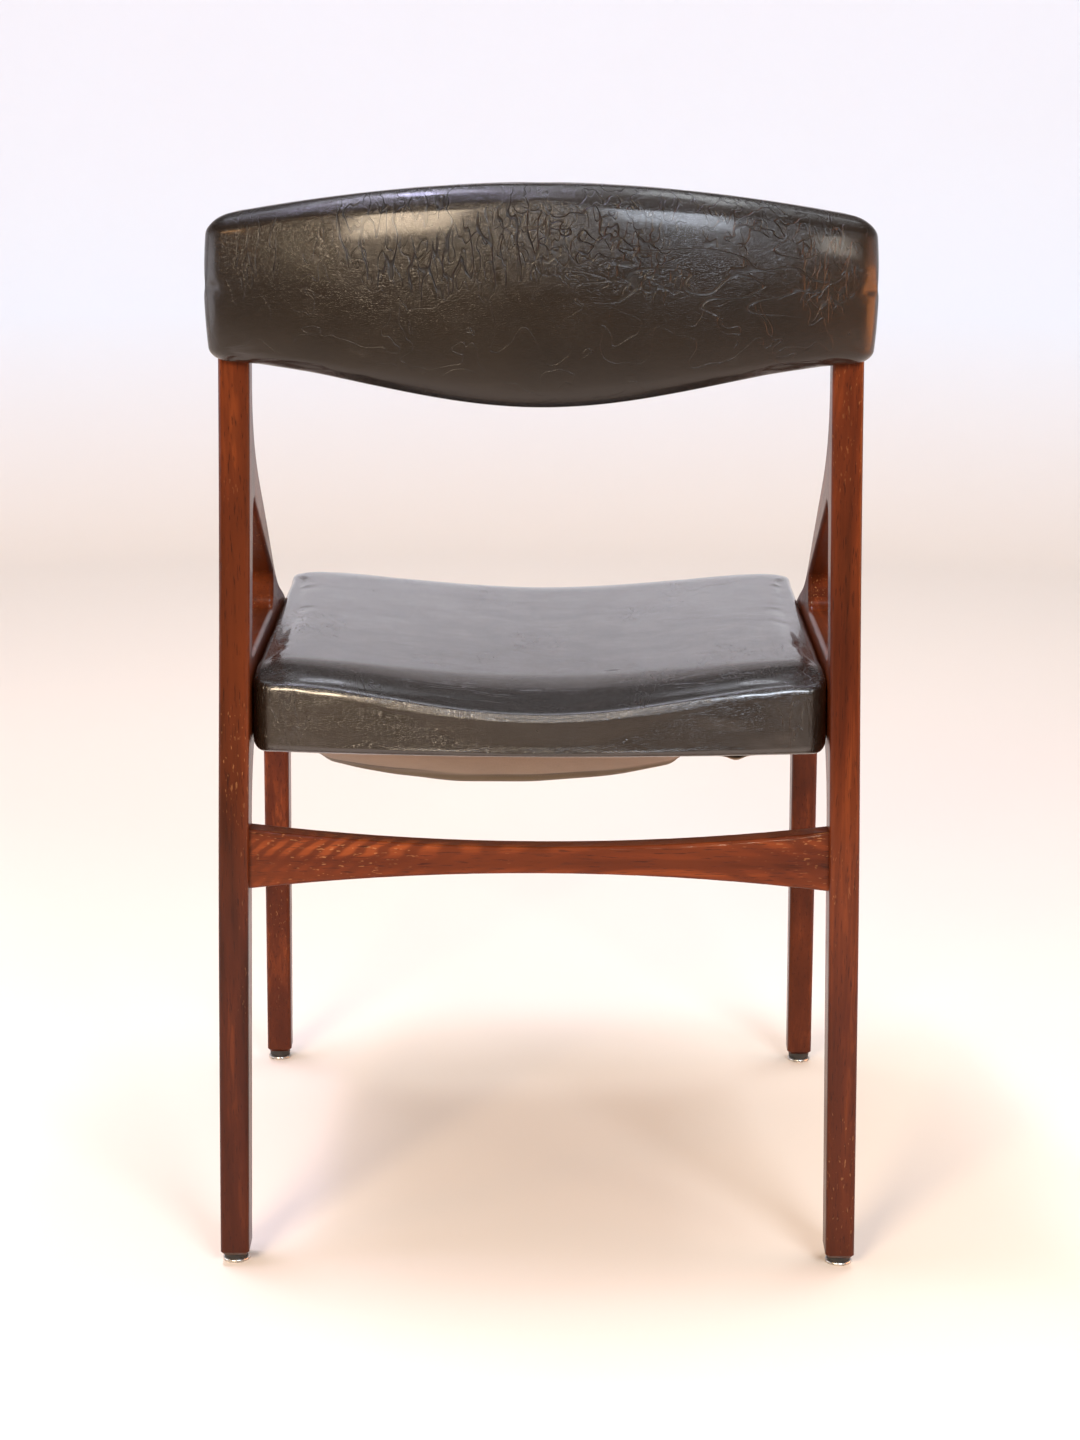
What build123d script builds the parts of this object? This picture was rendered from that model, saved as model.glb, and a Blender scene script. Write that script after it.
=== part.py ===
"""Dining chair with a wooden frame, a dished seat and a curved, upholstered back.

Millimetres, +Z up, +Y towards the front edge of the seat, +X towards the sitter's right. The origin is
on the floor, under the middle of the chair's outline. Everything is drawn with the rear feet near y = 0
and is moved to that origin when it is written out.
"""
import os
from math import asin, cos, degrees, pi, radians, sin, tan

from build123d import *

# ---------------------------------------------------------------- driving dimensions
FRAME_T = 21.2          # thickness of each flat side frame
INNER_X = 212.5         # inner face of a side frame from the middle, on the floor at y = 0
TILT = 1.4              # degrees that a side frame leans in towards its top
TOE = 1.335             # degrees that the side frames open towards the front
EDGE_R = 3.5            # rounding of every outside edge of the side frames
KNEE_REAR_R, KNEE_FRONT_R = 70.0, 40.0      # inside curves from the legs to the side rail
SHOULDER_R = 25.0       # outside curve from the side rail to the front leg

LEG_BOTTOM = 8.0        # legs end here, on their glides
SHOULDER_Z, TENON_TOP = 672.0, 742.0        # the back sits on the shoulder and takes in the tenon
RAIL_BOTTOM, RAIL_TOP = 415.0, 458.0        # side rail, at the opening
REAR_FOOT = (-5.0, 24.0)        # rear and front edge of the rear leg at the floor
FRONT_FOOT = (425.0, 450.0)     # the same of the front leg

SEAT_BOTTOM, SEAT_SIDE_TOP = 392.0, 449.0   # the top is along the side frames
SEAT_DISH = 19.0        # how much lower the middle is
SEAT_REAR, SEAT_FRONT = -15.0, 430.0        # corners; both edges bow out between them
SEAT_BOW_REAR, SEAT_BOW_FRONT = 15.0, 8.0
SEAT_HALF_REAR, SEAT_HALF_FRONT = 200.6, 211.2
SEAT_CORNER_REAR, SEAT_CORNER_FRONT = 18.0, 38.0
SEAT_TOP_R, SEAT_BOTTOM_R = 10.0, 8.0       # rounding of its upper and lower edges
COVER_T = 1.4           # upholstery cover
MEMBER_T, MEMBER_W = 18.6, 46.0             # front and rear members, lying flat
SIDE_MEMBER_T, SIDE_MEMBER_H = 24.0, 38.0   # side members, on edge

BACK_R = 560.0          # plan radius of the back, at the middle of its thickness
BACK_MID_Y = -70.0      # that surface at the centre line
BACK_T, BACK_HALF = 48.0, 218.0
BACK_LEAN, BACK_PIVOT_Z = 5.0, 715.0
BACK_SECTION_R, BACK_END_R = 20.0, 14.0
BACK_TOP, BACK_TOP_DROP = 786.5, 28.5       # at the centre line, and how much lower at the ends
BACK_LOW, BACK_LOW_RISE = 641.0, 22.5
SHELL_T, SHELL_FORWARD = 9.0, 12.0

DOWEL_R, FIT = 4.0, 0.1         # dowels, and the gap round them in their holes
SCREW_R, SCREW_HEAD_R = 2.0, 4.0

BIG = 2000.0


def side_place():
    """Carries a part drawn flat in the YZ plane, thickness along +X, to the right-hand side frame."""
    return Pos(INNER_X, 0, 0) * Rot(0, 0, -TOE) * Rot(0, -TILT, 0)


SIDE = side_place()


def other_side(part):
    return mirror(part, about=Plane.YZ)


def placed(part):
    """A flat part as the right-hand and left-hand copies."""
    right = SIDE * part
    return right, other_side(right)


def near(items, point):
    return items.sort_by_distance(Vector(*point))[0]


def rod(start, end, radius):
    """A round bar between two points."""
    a, b = Vector(*start), Vector(*end)
    plane = Plane(origin=a, z_dir=b - a)
    return extrude(plane * Circle(radius), amount=(b - a).length)


def slab(x, y, z):
    """A box from its ranges."""
    centre = [(lo + hi) / 2 for lo, hi in (x, y, z)]
    return Pos(*centre) * Box(x[1] - x[0], y[1] - y[0], z[1] - z[0])


# ---------------------------------------------------------------- side frames
def on_line(start, end, z):
    """The point of a straight edge at height z."""
    share = (z - start[1]) / (end[1] - start[1])
    return start[0] + share * (end[0] - start[0]), z


def side_outline():
    """The outline of a side frame, as a face in (forward, up)."""
    rear_low = (REAR_FOOT[0] + 1.5, -20)
    post_rear = Spline(rear_low, (-22, 212), (-27, 330), (-25.5, 480), (-34, 655), (-42.5, 745))
    post_front_top = (-18, 745)
    brace_end = (308, 447)
    brace_top = Spline(
        post_front_top, (-10, 665), (-5.5, 638), (2, 622), (18, 603), (64, 570.5), (144, 522.5),
        (233, 471.5), brace_end, tangents=[(0.11, -1), (1, -0.35)],
    )
    shoulder = (372.5, 424.5)
    front_low = on_line(shoulder, (FRONT_FOOT[1], 0), -20)
    knee_front = (339, RAIL_BOTTOM)
    heel_front = on_line(knee_front, (FRONT_FOOT[0] + 3, 0), -20)
    knee_rear = (1, RAIL_BOTTOM)
    heel_rear = on_line(knee_rear, (REAR_FOOT[1], 0), -20)
    edges = [
        post_rear,
        Line(post_rear @ 1, post_front_top),
        brace_top,
        Polyline(brace_end, shoulder, front_low, heel_front, knee_front, knee_rear, heel_rear, rear_low),
    ]
    face = make_face(edges)
    face = fillet(near(face.vertices(), (*shoulder, 0)), SHOULDER_R)
    face = fillet(near(face.vertices(), (*knee_front, 0)), KNEE_FRONT_R)
    return fillet(near(face.vertices(), (*knee_rear, 0)), KNEE_REAR_R)


def side_opening():
    """The three-cornered opening between post, brace and side rail."""
    corners = [(0, RAIL_TOP), (2, 572.5), (187, 484), (187, RAIL_TOP)]
    face = make_face(Polyline(*corners, close=True))
    for corner, radius in zip(corners, (8, 10, 13, 8)):
        face = fillet(near(face.vertices(), (*corner, 0)), radius)
    return face


def flat(face):
    """Stands a (forward, up) face in the YZ plane, and gives it the frame's thickness."""
    return extrude(Plane.YZ * face, amount=FRAME_T)


def side_blank():
    """The whole side frame in one piece, with its edges rounded, before it is divided."""
    blank = flat(side_outline()) - flat(side_opening())
    rims = [e for f in blank.faces().filter_by(Axis.X) for e in f.edges()]
    blank = fillet(rims, EDGE_R)
    above = slab((-20, 50), (-80, 40), (SHOULDER_Z, TENON_TOP + 20))
    return blank - (above - tenon())


# The tenon that goes up into the back: its ranges across the frame and, at the shoulder, front to back.
TENON_X, TENON_Y = (3.0, 14.0), (-34.5, -23.5)


def tenon(extra=0.0):
    """The tenon, leaning with the back; extra enlarges it to a mortise."""
    x = (TENON_X[0] - extra, TENON_X[1] + extra)
    y = (TENON_Y[0] - extra, TENON_Y[1] + extra)
    bar = slab(x, y, (-10, TENON_TOP - SHOULDER_Z + extra))
    return Pos(0, 0, SHOULDER_Z) * Rot(BACK_LEAN, 0, 0) * bar


# Joint lines that divide the frame: (forward, up) corners of the region of each piece.
LEG_EAR, BRACE_EAR, FRONT_JOINT = 44.0, 18.0, 298.0
SPLIT_LOW, SPLIT_HIGH = (LEG_EAR, 509.0), (FRONT_JOINT, 436.0)
REGIONS = {
    "rear_leg": [(-200, -50), (LEG_EAR, -50), SPLIT_LOW, (BRACE_EAR, 515), (BRACE_EAR, 900), (-200, 900)],
    "brace": [SPLIT_LOW, SPLIT_HIGH, (FRONT_JOINT, 900), (BRACE_EAR, 900), (BRACE_EAR, 515)],
    "side_rail": [(LEG_EAR, 380), (FRONT_JOINT, 380), SPLIT_HIGH, SPLIT_LOW],
    "front_leg": [(FRONT_JOINT, -50), (600, -50), (600, 900), (FRONT_JOINT, 900)],
}


def across_split(y, half):
    """A dowel standing across the joint of brace and side rail."""
    z = on_line(SPLIT_LOW[::-1], SPLIT_HIGH[::-1], y)[0]
    return (y, z - half), (y, z + half)


# Dowels inside the side frame, each (forward, up) start and end.
SIDE_DOWELS = [
    ((LEG_EAR - 20, 428), (LEG_EAR + 20, 428)),
    ((LEG_EAR - 20, 445), (LEG_EAR + 20, 445)),
    ((FRONT_JOINT - 20, 426), (FRONT_JOINT + 20, 426)),
    ((BRACE_EAR - 16, 586), (BRACE_EAR + 16, 579)),
    across_split(208, 12),
    across_split(232, 9),
]


def side_dowels(radius, extra=0.0):
    """The dowels of one side frame, flat; extra lengthens their holes."""
    made = []
    for start, end in SIDE_DOWELS:
        run = Vector(0, *end) - Vector(0, *start)
        reach = run.normalized() * extra
        middle = Vector(FRAME_T / 2, 0, 0)
        made.append(rod(Vector(0, *start) + middle - reach, Vector(0, *end) + middle + reach, radius))
    return made


def side_pieces():
    """Flat pieces of a side frame, by name."""
    blank = side_blank()
    for hole in side_dowels(DOWEL_R + FIT, extra=1.0):
        blank -= hole
    pieces = {}
    for name, corners in REGIONS.items():
        region = extrude(Plane.YZ * make_face(Polyline(*corners, close=True)), amount=100, both=True)
        pieces[name] = blank & region
    return pieces


# ---------------------------------------------------------------- cross rails
STRETCHER_Y = (-19.5, 0.0)
STRETCHER_ENDS, STRETCHER_MID = (292.3, 339.0), (306.0, 325.3)
FRONT_RAIL_Y, FRONT_RAIL_Z = (357.0, 375.0), (346.0, 390.9)
CROSS_DOWELS = {    # piece: dowel centres (y, z), and how far each one reaches out of the rail
    "rear_stretcher": [(-6.0, 303.0), (-6.0, 322.0)],
    "front_rail": [(366.0, 358.0), (366.0, 378.0)],
}
DOWEL_IN, DOWEL_OUT = 22.0, 13.0


def outside_frames():
    """Everything beyond the inner faces of the two side frames."""
    beyond = SIDE * slab((0, BIG), (-BIG, BIG), (-BIG, BIG))
    return beyond, other_side(beyond)


def inner_x(y, z):
    """Distance of a side frame's inner face from the middle."""
    return INNER_X + y * tan(radians(TOE)) - z * tan(radians(TILT))


def cross_dowels(piece, radius, extra=0.0):
    made = []
    for y, z in CROSS_DOWELS[piece]:
        x = inner_x(y, z)
        right = rod((x - DOWEL_IN - extra, y, z), (x + DOWEL_OUT + extra, y, z), radius)
        made += [right, other_side(right)]
    return made


def rear_stretcher():
    """Waisted rail low between the rear legs."""
    half = INNER_X + 5
    top = ThreePointArc((-half, STRETCHER_ENDS[1]), (0, STRETCHER_MID[1]), (half, STRETCHER_ENDS[1]))
    low = ThreePointArc((half, STRETCHER_ENDS[0]), (0, STRETCHER_MID[0]), (-half, STRETCHER_ENDS[0]))
    face = make_face([top, Line(top @ 1, low @ 0), low, Line(low @ 1, top @ 0)])
    bar = extrude(Plane.XZ * face, amount=-(STRETCHER_Y[1] - STRETCHER_Y[0]))
    bar = Pos(0, STRETCHER_Y[0], 0) * bar
    bar = fillet(bar.edges().filter_by(lambda e: e.length > half), 2.5)
    for beyond in outside_frames():
        bar -= beyond
    for hole in cross_dowels("rear_stretcher", DOWEL_R + FIT, extra=1.0):
        bar -= hole
    return bar


def front_rail():
    """Plain rail under the front of the seat, with two screw holes up into the seat."""
    bar = slab((-INNER_X - 20, INNER_X + 20), FRONT_RAIL_Y, FRONT_RAIL_Z)
    bar = fillet(bar.edges().filter_by(Axis.X), 2.0)
    for beyond in outside_frames():
        bar -= beyond
    for hole in cross_dowels("front_rail", DOWEL_R + FIT, extra=1.0):
        bar -= hole
    for screw in front_screws(FIT):
        bar -= screw
    return bar


# ---------------------------------------------------------------- feet
GLIDE_R, GLIDE_T = 10.0, 2.8
NAIL_R, NAIL_TOP = 1.4, 24.0
PAD_R_TOP, PAD_R_BOTTOM = 9.2, 8.6
FOOT_Y = {"rear": sum(REAR_FOOT) / 2, "front": sum(FRONT_FOOT) / 2}


def foot_point(which):
    """Where the right-hand leg of a pair stands, on the floor."""
    return (SIDE * Pos(FRAME_T / 2, FOOT_Y[which], 0)).position


def glide():
    """Pressed steel disc with its nail."""
    rim = GLIDE_T / 2
    profile = make_face([
        Line((0, 0), (GLIDE_R - rim, 0)),
        ThreePointArc((GLIDE_R - rim, 0), (GLIDE_R, rim), (GLIDE_R - rim, GLIDE_T)),
        Polyline((GLIDE_R - rim, GLIDE_T), (NAIL_R, GLIDE_T), (NAIL_R, NAIL_TOP - 3), (0, NAIL_TOP), (0, 0)),
    ])
    return revolve(Plane.XZ * profile, Axis.Z)


def glide_pad():
    """Rubber pad between the disc and the leg."""
    profile = make_face(Polyline(
        (NAIL_R + FIT, GLIDE_T), (PAD_R_BOTTOM, GLIDE_T), (PAD_R_TOP, LEG_BOTTOM), (NAIL_R + FIT, LEG_BOTTOM),
        close=True,
    ))
    return revolve(Plane.XZ * profile, Axis.Z)


def finish_leg(leg, which):
    """Cuts the placed right-hand leg level above its glide, bevels its end and bores it for the nail."""
    leg -= slab((-BIG, BIG), (-BIG, BIG), (-BIG, LEG_BOTTOM))
    sole = leg.faces().sort_by(Axis.Z)[0]
    leg = chamfer(sole.edges(), 3.0)
    spot = foot_point(which)
    return leg - rod((spot.X, spot.Y, 0), (spot.X, spot.Y, NAIL_TOP + 1), NAIL_R + FIT)


# ---------------------------------------------------------------- seat
def seat_half(y):
    share = (y - SEAT_REAR) / (SEAT_FRONT - SEAT_REAR)
    return SEAT_HALF_REAR + share * (SEAT_HALF_FRONT - SEAT_HALF_REAR)


def seat_plan(inset):
    """Plan outline of the seat, drawn in by inset."""
    rear, front = SEAT_REAR + inset, SEAT_FRONT - inset
    half_r, half_f = seat_half(rear) - inset, seat_half(front) - inset
    rear_arc = ThreePointArc((-half_r, rear), (0, rear - SEAT_BOW_REAR), (half_r, rear))
    front_arc = ThreePointArc((half_f, front), (0, front + SEAT_BOW_FRONT), (-half_f, front))
    face = make_face([rear_arc, Line(rear_arc @ 1, front_arc @ 0), front_arc, Line(front_arc @ 1, rear_arc @ 0)])
    for x, y, radius in ((half_r, rear, SEAT_CORNER_REAR), (half_f, front, SEAT_CORNER_FRONT)):
        for side in (-1, 1):
            face = fillet(near(face.vertices(), (side * x, y, 0)), radius - inset)
    return face


def dish_share(x):
    """Depth of the dish at x, as a share of its depth in the middle."""
    across = min(abs(x) / SEAT_HALF_FRONT, 1)
    return ((1 + cos(pi * across)) / 2 + 1 - across ** 2) / 2


def seat_block(inset):
    """The cushion's shape, drawn in by inset, with its dished top and rounded edges."""
    bottom, top = SEAT_BOTTOM + inset, SEAT_SIDE_TOP - inset
    block = extrude(Pos(0, 0, bottom) * seat_plan(inset), amount=top + 20 - bottom)
    reach = SEAT_HALF_FRONT + 5
    dip = Spline(*[(x, top - SEAT_DISH * dish_share(x)) for x in (-reach, -150, -75, 0, 75, 150, reach)])
    above = make_face([dip, Polyline(dip @ 1, (reach, top + 50), (-reach, top + 50), dip @ 0)])
    block -= extrude(Plane.XZ.offset(-700) * above, amount=1400)
    dished = block.faces().filter_by(lambda f: f.normal_at().Z > 0.5).sort_by(SortBy.AREA)[-1]
    block = fillet(dished.edges(), SEAT_TOP_R - inset)
    return fillet(block.faces().sort_by(Axis.Z)[0].edges(), SEAT_BOTTOM_R - inset)


def seat_cover():
    """Cover: closed over the top and sides, turned in under the wooden frame."""
    shell = seat_block(0) - seat_block(COVER_T)
    turned_in = 16.0
    shell -= extrude(Pos(0, 0, SEAT_BOTTOM - 1) * seat_plan(turned_in), amount=COVER_T + 2)
    return shell - [*side_screws(FIT), *front_screws(FIT)]


WOOD_BOTTOM = SEAT_BOTTOM + COVER_T
FRONT_MEMBER_Y, REAR_MEMBER_Y = SEAT_FRONT - COVER_T - MEMBER_W, SEAT_REAR + COVER_T + MEMBER_W
BLOCK_LEG = 36.0
WEB_T, WEB_W, WEB_STEP = 2.0, 46.0, 57.0


def seat_wood():
    """The four members of the seat's wooden frame and the blocks in its corners, by name."""
    body = seat_block(COVER_T + FIT)
    lying, standing = (0, WOOD_BOTTOM + MEMBER_T), (0, WOOD_BOTTOM + SIDE_MEMBER_H)
    between = (REAR_MEMBER_Y, FRONT_MEMBER_Y)
    inside = make_face(Polyline(
        (seat_half(between[0]) - COVER_T - SIDE_MEMBER_T, between[0]), (BIG, between[0]), (BIG, between[1]),
        (seat_half(between[1]) - COVER_T - SIDE_MEMBER_T, between[1]), close=True,
    ))
    right = body & extrude(inside, amount=standing[1]) - side_screws(FIT)
    blocks = []
    for y, towards in ((REAR_MEMBER_Y, 1), (FRONT_MEMBER_Y, -1)):
        x = seat_half(y) - COVER_T - SIDE_MEMBER_T - 0.6
        slope = towards * BLOCK_LEG * (SEAT_HALF_FRONT - SEAT_HALF_REAR) / (SEAT_FRONT - SEAT_REAR)
        corner = Polyline((x, y), (x - BLOCK_LEG, y), (x + slope, y + towards * BLOCK_LEG), close=True)
        block = extrude(Pos(0, 0, WOOD_BOTTOM + 1) * make_face(corner), amount=MEMBER_T - 2)
        blocks += [block, other_side(block)]
    return {
        "seat_frame_front": body & slab((-BIG, BIG), (between[1], BIG), lying) - front_screws(FIT),
        "seat_frame_rear": body & slab((-BIG, BIG), (-BIG, between[0]), lying),
        "seat_frame_right": right,
        "seat_frame_left": other_side(right),
        "seat_corner_blocks": blocks,
    }


def seat_webbing():
    """Strips from the rear member to the front one."""
    ends = (REAR_MEMBER_Y - 34, FRONT_MEMBER_Y + 34)
    height = (WOOD_BOTTOM + MEMBER_T, WOOD_BOTTOM + MEMBER_T + WEB_T)
    middles = [WEB_STEP * n for n in (-2.5, -1.5, -0.5, 0.5, 1.5, 2.5)]
    return [slab((x - WEB_W / 2, x + WEB_W / 2), ends, height) for x in middles]


def seat_foam(wood):
    """Foam pad on the webbing."""
    pad = seat_block(COVER_T) - slab((-BIG, BIG), (-BIG, BIG), (0, WOOD_BOTTOM + MEMBER_T + WEB_T))
    return pad - [wood["seat_frame_right"], wood["seat_frame_left"], *side_screws(FIT)]


SAG_DEPTH, SAG_HALF_X, SAG_HALF_Y = 38.0, 172.0, 130.0
SAG_MID = (-18.0, 128.0)
CLOTH_T = 1.0


def sag_cap(lift):
    """The slack that hangs below the seat, as a solid cap; lift raises it."""
    radius = (SAG_HALF_Y ** 2 + SAG_DEPTH ** 2) / (2 * SAG_DEPTH)
    ball = scale(Sphere(radius), by=(SAG_HALF_X / SAG_HALF_Y, 1, 1))
    ball = Pos(*SAG_MID, SEAT_BOTTOM - SAG_DEPTH + radius + lift) * ball
    return ball & slab((-BIG, BIG), (-BIG, BIG), (0, SEAT_BOTTOM))


def dust_cover():
    """Lining cloth tacked under the seat, slack enough to belly down."""
    rim = extrude(Pos(0, 0, SEAT_BOTTOM - CLOTH_T) * seat_plan(12), amount=CLOTH_T)
    return (rim + sag_cap(0)) - sag_cap(CLOTH_T) - front_screws(FIT)


def countersunk(start, end, extra):
    """Wood screw from the face of its head at start to its tip at end."""
    a, b = Vector(*start), Vector(*end)
    run = (b - a).normalized()
    head = Plane(origin=a - run * extra, z_dir=run) * Cone(SCREW_HEAD_R + extra, SCREW_R + extra, 3 + extra,
                                                          align=(Align.CENTER, Align.CENTER, Align.MIN))
    return head + rod(a, b + run * extra, SCREW_R + extra)


def side_screws(extra=0.0):
    """Out from the seat's side members into the side rails."""
    made = []
    for y in (95.0, 255.0):
        z = WOOD_BOTTOM + 31
        head = seat_half(y) - COVER_T - SIDE_MEMBER_T + 1
        right = countersunk((head, y, z), (inner_x(y, z) + 15, y, z), extra)
        made += [right, other_side(right)]
    return made


def front_screws(extra=0.0):
    """Up through the front rail into the seat's front member."""
    y = sum(FRONT_RAIL_Y) / 2 + 6
    return [countersunk((x, y, FRONT_RAIL_Z[0] + 0.5), (x, y, WOOD_BOTTOM + 14), extra) for x in (-130, 130)]


# ---------------------------------------------------------------- back
def lean(part):
    """Tips a part of the back rearward about its own middle."""
    return Pos(0, BACK_MID_Y, BACK_PIVOT_Z) * Rot(BACK_LEAN, 0, 0) * Pos(0, -BACK_MID_Y, -BACK_PIVOT_Z) * part


def back_bar(thickness, margin, end_margin, radius, forward=0.0):
    """A bar bent to the back's curve, leaned; margin draws in its outline, forward moves it in."""
    sections = []
    last = BACK_HALF - end_margin
    for share in (-1, -0.84, -0.56, -0.28, 0, 0.28, 0.56, 0.84, 1):
        x = share * last
        turn = asin(x / BACK_R)
        high = BACK_TOP - BACK_TOP_DROP * (x / BACK_HALF) ** 2 - margin
        low = BACK_LOW + BACK_LOW_RISE * (1 - cos(pi * x / BACK_HALF)) / 2 + margin
        out = BACK_R - forward
        centre = Pos(out * sin(turn), BACK_MID_Y + BACK_R - out * cos(turn), (low + high) / 2)
        outline = RectangleRounded(thickness, high - low, radius)
        sections.append(centre * Rot(0, 0, degrees(turn)) * (Plane.YZ * outline))
    return lean(loft(sections))


def back_block(inset):
    """The padded back's shape, drawn in by inset."""
    block = back_bar(BACK_T - 2 * inset, inset, inset, BACK_SECTION_R - inset)
    ends = block.faces().filter_by(GeomType.PLANE)
    return fillet([e for f in ends for e in f.edges()], BACK_END_R - inset)


def back_shell():
    """Moulded plywood core."""
    return back_bar(SHELL_T, 18.0, 7.0, SHELL_T / 2 - 0.5, SHELL_FORWARD) - back_screws(FIT)


def mortises():
    right = SIDE * tenon(FIT)
    return [right, other_side(right)]


BLOCK_X, BLOCK_Y, BLOCK_Z = (189.0, 212.0), (-47.0, -10.0), (678.0, 750.0)


def back_end_blocks():
    """Hardwood blocks behind the ends of the shell, with a mortise for each post."""
    reach = 45.0
    behind = back_bar(reach, 0, 0, 2.0, SHELL_FORWARD - SHELL_T / 2 - FIT - reach / 2)
    block = slab(BLOCK_X, BLOCK_Y, BLOCK_Z) & behind & back_block(COVER_T + 3)
    right = block - mortises() - back_screws(FIT)
    return right, other_side(right)


def back_screws(extra=0.0):
    """Two on each side, from behind through block and tenon into the shell."""
    made = []
    for z, y in ((695.0, -45.0), (728.0, -46.0)):
        right = countersunk((202.5, y, z), (202.5, y + 25, z), extra)
        made += [right, other_side(right)]
    return made


def back_soft(shell, blocks):
    """Cover and the two foam pads of the back, by name."""
    core = back_block(COVER_T)
    posts = SIDE * slab((-0.5, FRAME_T + 0.5), (-37, -9), (600, SHOULDER_Z + 0.5))
    posts = [posts, other_side(posts)]
    cover = back_block(0) - core - posts
    core -= [shell, *blocks, *mortises(), *posts, *back_screws(FIT)]
    reach = 60.0
    front_side = back_bar(reach, -50, -50, 2.0, SHELL_FORWARD + reach / 2)
    return {"back_cover": cover, "back_front_foam": core & front_side, "back_rear_foam": core - front_side}


# ---------------------------------------------------------------- the whole chair
def chair():
    """Every node by name, each a shape or a list of separate solids."""
    nodes = {}
    for name, piece in side_pieces().items():
        right, left = placed(piece)
        if name.endswith("_leg"):
            which = name.split("_")[0]
            right = finish_leg(right, which)
            rail = "rear_stretcher" if which == "rear" else "front_rail"
            right -= cross_dowels(rail, DOWEL_R + FIT, extra=1.0)
            if which == "rear":
                right -= back_screws(FIT)
            left = other_side(right)
        if name == "side_rail":
            right -= side_screws(FIT)
            left = other_side(right)
        nodes["right_" + name] = right
        nodes["left_" + name] = left
    dowels = [placed(d) for d in side_dowels(DOWEL_R)]
    nodes["side_frame_dowels"] = [d for pair in dowels for d in pair]
    nodes["cross_rail_dowels"] = [d for rail in CROSS_DOWELS for d in cross_dowels(rail, DOWEL_R)]
    nodes["rear_stretcher"] = rear_stretcher()
    nodes["front_rail"] = front_rail()
    for which in FOOT_Y:
        spot = foot_point(which)
        for side, sign in (("right", 1), ("left", -1)):
            here = Pos(sign * spot.X, spot.Y, 0)
            nodes[f"{which}_{side}_glide"] = here * glide()
            nodes[f"{which}_{side}_glide_pad"] = here * glide_pad()
    wood = seat_wood()
    nodes.update(wood)
    nodes["seat_webbing"] = seat_webbing()
    nodes["seat_foam"] = seat_foam(wood)
    nodes["seat_cover"] = seat_cover()
    nodes["seat_dust_cover"] = dust_cover()
    nodes["seat_side_screws"] = side_screws()
    nodes["seat_front_screws"] = front_screws()
    shell, blocks = back_shell(), back_end_blocks()
    nodes["back_shell"] = shell
    nodes["right_back_block"], nodes["left_back_block"] = blocks
    nodes["back_screws"] = back_screws()
    nodes.update(back_soft(shell, blocks))
    return nodes


def write(nodes):
    """Moves the chair to its origin and writes one STEP file for each node."""
    solids = {name: Compound(shape.solids() if hasattr(shape, "solids") else [s.solid() for s in shape])
              for name, shape in nodes.items()}
    box = Compound(list(solids.values())).bounding_box()
    to_origin = Pos(0, -(box.min.Y + box.max.Y) / 2, 0)
    os.makedirs("parts", exist_ok=True)
    for name, shape in solids.items():
        export_step(to_origin * shape, os.path.join("parts", name + ".step"))
    print("size", box.size, "moved", to_origin.position.Y)


write(chair())
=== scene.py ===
"""Looks for the dining chair: oiled teak, glossy black leatherette, a slack brown lining and steel glides.

Metres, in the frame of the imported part: +Z up, +Y towards the front edge of the seat, +X to the right.
"""

import bpy
import numpy as np
from math import cos, pi, radians, sin
from mathutils import Matrix, Vector


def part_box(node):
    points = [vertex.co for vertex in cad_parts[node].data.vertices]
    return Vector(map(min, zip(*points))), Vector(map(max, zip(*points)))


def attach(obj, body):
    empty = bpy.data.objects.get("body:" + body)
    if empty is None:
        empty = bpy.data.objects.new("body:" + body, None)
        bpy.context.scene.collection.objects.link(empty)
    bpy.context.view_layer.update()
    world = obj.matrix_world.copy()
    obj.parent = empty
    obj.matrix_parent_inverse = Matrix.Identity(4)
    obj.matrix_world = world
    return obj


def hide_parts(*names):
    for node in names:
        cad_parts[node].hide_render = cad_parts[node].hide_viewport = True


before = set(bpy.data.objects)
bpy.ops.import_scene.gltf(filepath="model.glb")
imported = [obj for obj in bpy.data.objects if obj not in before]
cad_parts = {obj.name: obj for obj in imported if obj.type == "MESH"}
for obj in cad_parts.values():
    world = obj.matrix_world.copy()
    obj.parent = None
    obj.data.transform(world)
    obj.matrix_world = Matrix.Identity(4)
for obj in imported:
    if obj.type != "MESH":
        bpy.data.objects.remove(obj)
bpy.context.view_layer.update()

SEAT_LOW, SEAT_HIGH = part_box("seat_cover")
BACK_LOW, BACK_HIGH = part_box("back_cover")
MM = 0.001              # drawing sizes below are in millimetres


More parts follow.
